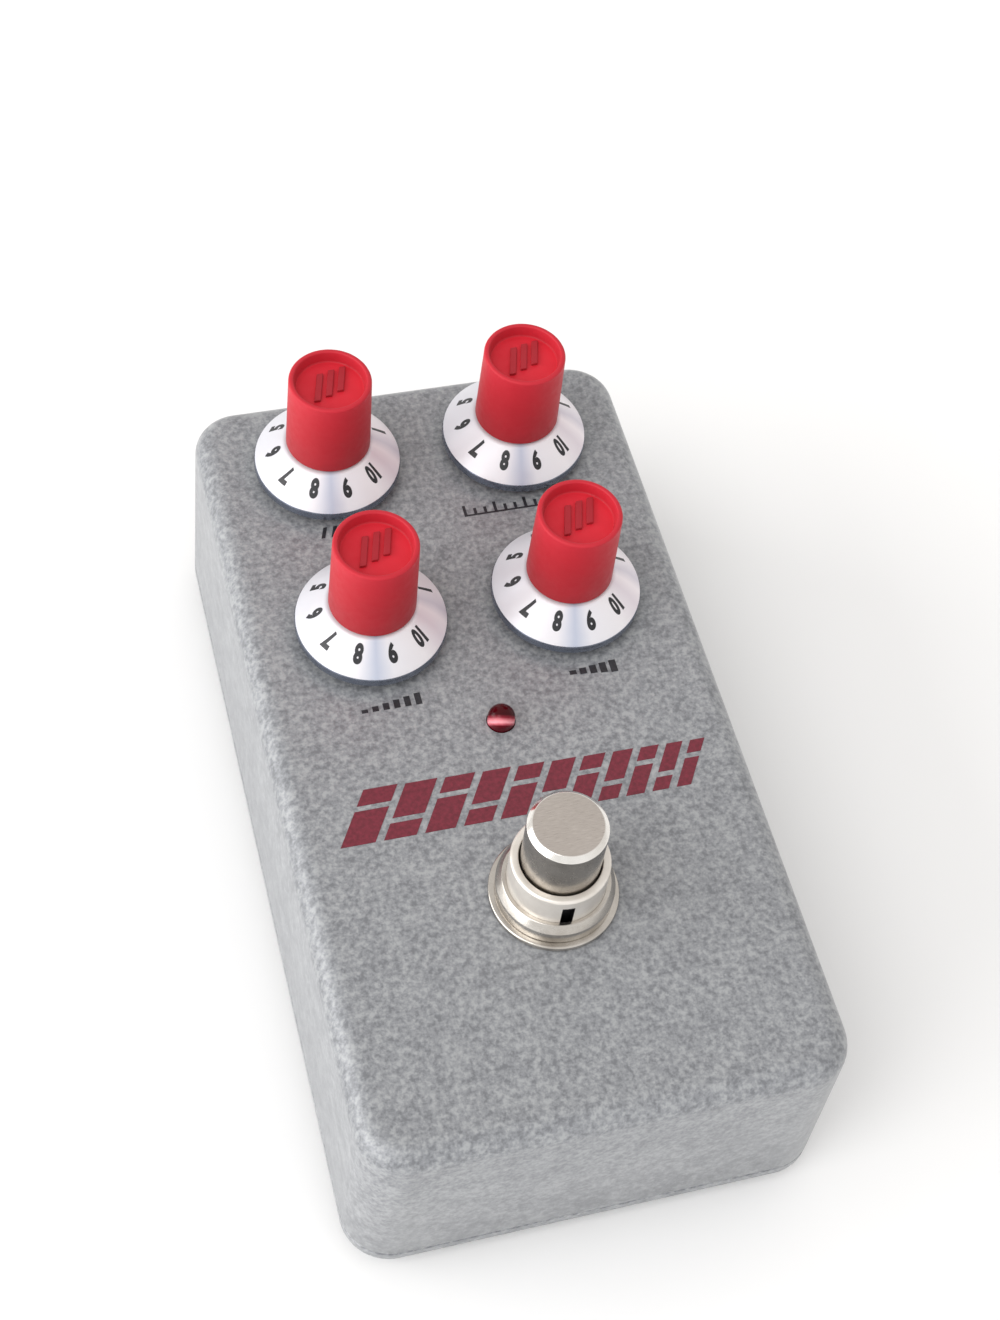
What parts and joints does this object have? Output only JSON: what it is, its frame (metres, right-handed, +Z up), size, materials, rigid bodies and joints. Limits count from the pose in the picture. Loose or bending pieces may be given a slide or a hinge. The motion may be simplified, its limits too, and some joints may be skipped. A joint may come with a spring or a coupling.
{
  "type": "guitar effects pedal",
  "caption": "Compact die-cast guitar effects pedal with skirted control knobs, indicator lamp, press footswitch and rear jack sockets.",
  "frame": {"origin": "on the surface it stands on, under the centre of its bounding box", "axes": "+X to the player's right, +Y to the rear jack end, +Z up out of the control panel"},
  "size_m": [0.0608, 0.1164, 0.0508],
  "materials": {
    "painted_shell": "grey hammer-finish enamel, mottled light and dark",
    "grip_red": "matt, slightly grained",
    "dial_white": "satin, with printed black numbers",
    "chrome": "bright, brushed on the button's top",
    "zinc": "zinc plated",
    "black_steel": "black oxide",
    "rubber": "matt",
    "black_plastic": "matt",
    "board": "green solder mask",
    "lamp_red": "clear dark red",
    "blue_plastic": "satin",
    "white_plastic": "satin",
    "grey_wire": "ribbed",
    "red_film": "dipped"
  },
  "bodies": {
    "case": {"enclosure_shell": "painted_shell", "bottom_cover": "painted_shell", "cover_screw_front_left": "black_steel", "rubber_foot_front_left": "rubber", "cover_screw_front_right": "black_steel", "rubber_foot_front_right": "rubber", "cover_screw_rear_left": "black_steel", "rubber_foot_rear_left": "rubber", "cover_screw_rear_right": "black_steel", "rubber_foot_rear_right": "rubber", "main_board": "board", "op_amp_chip": "black_plastic", "electrolytic_capacitor": "blue_plastic", "film_capacitor": "red_film", "trimmer_coil": "black_plastic", "indicator_lamp": "lamp_red", "lamp_spacer": "black_plastic", "pot_body_tone": "zinc", "pot_washer_tone": "zinc", "pot_nut_tone": "chrome", "pot_body_mid": "zinc", "pot_washer_mid": "zinc", "pot_nut_mid": "chrome", "pot_body_level": "zinc", "pot_washer_level": "zinc", "pot_nut_level": "chrome", "pot_body_gain": "zinc", "pot_washer_gain": "zinc", "pot_nut_gain": "chrome", "footswitch_bush": "chrome", "footswitch_washer": "chrome", "footswitch_dress_nut": "chrome", "footswitch_lock_nut": "zinc", "footswitch_housing": "blue_plastic", "footswitch_terminals": "zinc", "footswitch_spring": "zinc", "switch_board": "board", "ribbon_cable": "grey_wire", "input_jack_body": "black_plastic", "input_jack_washer": "chrome", "input_jack_nut": "chrome", "output_jack_body": "black_plastic", "output_jack_washer": "chrome", "output_jack_nut": "chrome", "power_socket": "black_plastic"},
    "knob_tone": {"knob_cap_tone": "grip_red", "knob_skirt_tone": "dial_white", "pot_shaft_tone": "zinc"},
    "knob_mid": {"knob_cap_mid": "grip_red", "knob_skirt_mid": "dial_white", "pot_shaft_mid": "zinc"},
    "knob_level": {"knob_cap_level": "grip_red", "knob_skirt_level": "dial_white", "pot_shaft_level": "zinc"},
    "knob_gain": {"knob_cap_gain": "grip_red", "knob_skirt_gain": "dial_white", "pot_shaft_gain": "zinc"},
    "button": {"footswitch_button": "chrome", "footswitch_plunger": "white_plastic"}
  },
  "joints": [
    {"name": "tone_knob_turn", "type": "hinge", "parent": "case", "child": "knob_tone", "pos_m": [-0.013, 0.04026, 0.0387], "axis": [0, 0, -1], "range_deg": [-80, 220]},
    {"name": "mid_knob_turn", "type": "hinge", "parent": "case", "child": "knob_mid", "pos_m": [0.013, 0.04026, 0.0387], "axis": [0, 0, -1], "range_deg": [-80, 220]},
    {"name": "level_knob_turn", "type": "hinge", "parent": "case", "child": "knob_level", "pos_m": [-0.013, 0.01354, 0.0387], "axis": [0, 0, -1], "range_deg": [-80, 220]},
    {"name": "gain_knob_turn", "type": "hinge", "parent": "case", "child": "knob_gain", "pos_m": [0.013, 0.01354, 0.0387], "axis": [0, 0, -1], "range_deg": [-80, 220]},
    {"name": "footswitch_press", "type": "slide", "parent": "case", "child": "button", "axis": [0, 0, -1], "range_m": [0, 0.0025], "stiffness_N_per_m": 1500, "springref_m": -0.004, "deforming": ["footswitch_spring"]}
  ]
}
